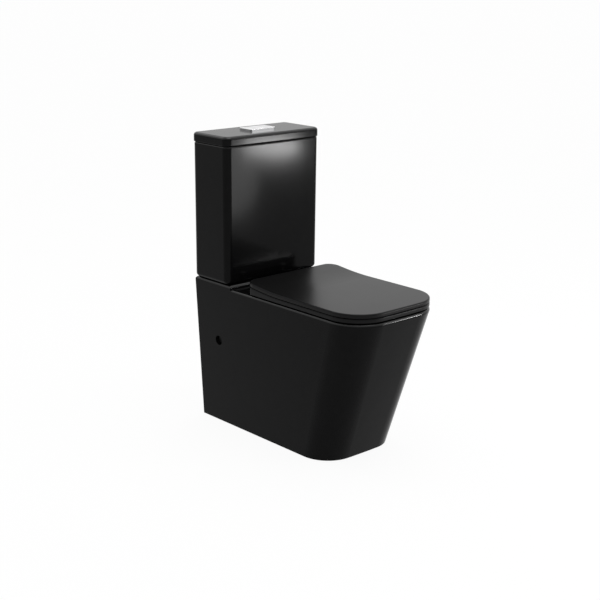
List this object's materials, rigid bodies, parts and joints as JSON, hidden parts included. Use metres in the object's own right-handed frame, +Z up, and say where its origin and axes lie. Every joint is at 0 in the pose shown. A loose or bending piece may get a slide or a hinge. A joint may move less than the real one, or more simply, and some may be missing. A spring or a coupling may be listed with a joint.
{
  "type": "close coupled toilet",
  "caption": "Back to wall toilet with a shrouded tapered pan, slim cistern on its rear shelf, hinged seat and lid, and a rectangular dual flush button.",
  "frame": {"origin": "on the floor, under the middle of the overall box", "axes": "+Z up, the wall is at +Y and the front of the pan at -Y, +X to the right as seen from the front"},
  "size_m": [0.347, 0.6579, 0.8469],
  "materials": {
    "black_glaze": "satin black glaze",
    "black_seat": "satin black moulded seat",
    "black_plastic": "moulded black",
    "chrome_plate": "polished chrome",
    "grey_rubber": "soft black rubber",
    "steel": "plain steel",
    "white_plastic": "moulded white",
    "blue_plastic": "moulded blue",
    "grey_plastic": "moulded grey"
  },
  "bodies": {
    "base": {"pan": "black_glaze", "cistern_tank": "black_glaze", "wall_brackets": "black_plastic", "hinge_caps": "chrome_plate", "hinge_plates": "chrome_plate", "hinge_posts": "chrome_plate", "shelf_pads": "grey_rubber", "doughnut_seal": "grey_rubber", "coupling_washers": "grey_rubber", "flush_base_washer": "grey_rubber", "fill_washer": "grey_rubber", "coupling_bolts": "steel", "coupling_plates": "steel", "rocker_pin": "steel", "fill_lever_pin": "steel", "hinge_pins": "steel", "hinge_bolts": "steel", "flush_valve_base": "white_plastic", "flush_tower": "white_plastic", "tower_cap": "white_plastic", "fill_riser": "white_plastic", "fill_head": "white_plastic", "hinge_bushes": "white_plastic", "hinge_nuts": "white_plastic", "coupling_nuts": "white_plastic", "flush_back_nut": "white_plastic", "fill_nut": "white_plastic"},
    "ring": {"seat_ring": "black_seat", "ring_bumpers": "grey_rubber"},
    "seat_cover": {"seat_lid": "black_seat", "lid_bumpers": "grey_rubber"},
    "cistern_cover": {"cistern_lid": "black_glaze", "button_bezel": "chrome_plate", "button_clamp": "white_plastic"},
    "full_key": {"full_flush_button": "chrome_plate", "full_flush_rod": "grey_plastic"},
    "half_key": {"half_flush_button": "chrome_plate", "half_flush_rod": "grey_plastic"},
    "piston": {"flush_piston": "blue_plastic", "flush_seal": "grey_rubber"},
    "rocker": {"rocker_lever": "blue_plastic"},
    "float": {"fill_float": "grey_plastic", "float_link": "steel"},
    "fill_arm": {"fill_lever": "blue_plastic"}
  },
  "joints": [
    {"name": "seat_ring_hinge", "type": "hinge", "parent": "base", "child": "ring", "pos_m": [0, 0.124, 0.434], "axis": [1, 0, 0], "range_deg": [-94, 0]},
    {"name": "seat_lid_hinge", "type": "hinge", "parent": "ring", "child": "seat_cover", "pos_m": [0, 0.124, 0.434], "axis": [-1, 0, 0], "range_deg": [0, 94]},
    {"name": "cistern_lid_lift", "type": "slide", "parent": "base", "child": "cistern_cover", "axis": [0, 0, 1], "range_m": [0, 0.16]},
    {"name": "full_flush_press", "type": "slide", "parent": "cistern_cover", "child": "full_key", "axis": [0, 0, -1], "range_m": [0, 0.008], "stiffness_N_per_m": 700, "springref_m": -0.005},
    {"name": "half_flush_press", "type": "slide", "parent": "cistern_cover", "child": "half_key", "axis": [0, 0, -1], "range_m": [0, 0.008], "stiffness_N_per_m": 700, "springref_m": -0.005},
    {"name": "flush_piston_lift", "type": "slide", "parent": "base", "child": "piston", "axis": [0, 0, 1], "range_m": [0, 0.0097]},
    {"name": "rocker_turn", "type": "hinge", "parent": "base", "child": "rocker", "pos_m": [0.019, 0.247, 0.712], "axis": [0, 1, 0], "range_deg": [0, 28.8]},
    {"name": "float_rise", "type": "slide", "parent": "base", "child": "float", "axis": [0, 0, 1], "range_m": [0, 0.03]},
    {"name": "fill_lever_turn", "type": "hinge", "parent": "base", "child": "fill_arm", "pos_m": [0.132, 0.251, 0.73], "axis": [0, 1, 0], "range_deg": [0, 36.2]}
  ],
  "couplings": [
    {"joint": "flush_piston_lift", "follows": "full_flush_press", "ratio": 1.2},
    {"joint": "rocker_turn", "follows": "full_flush_press", "rad_per_m": 62.5},
    {"joint": "fill_lever_turn", "follows": "float_rise", "rad_per_m": 21}
  ]
}
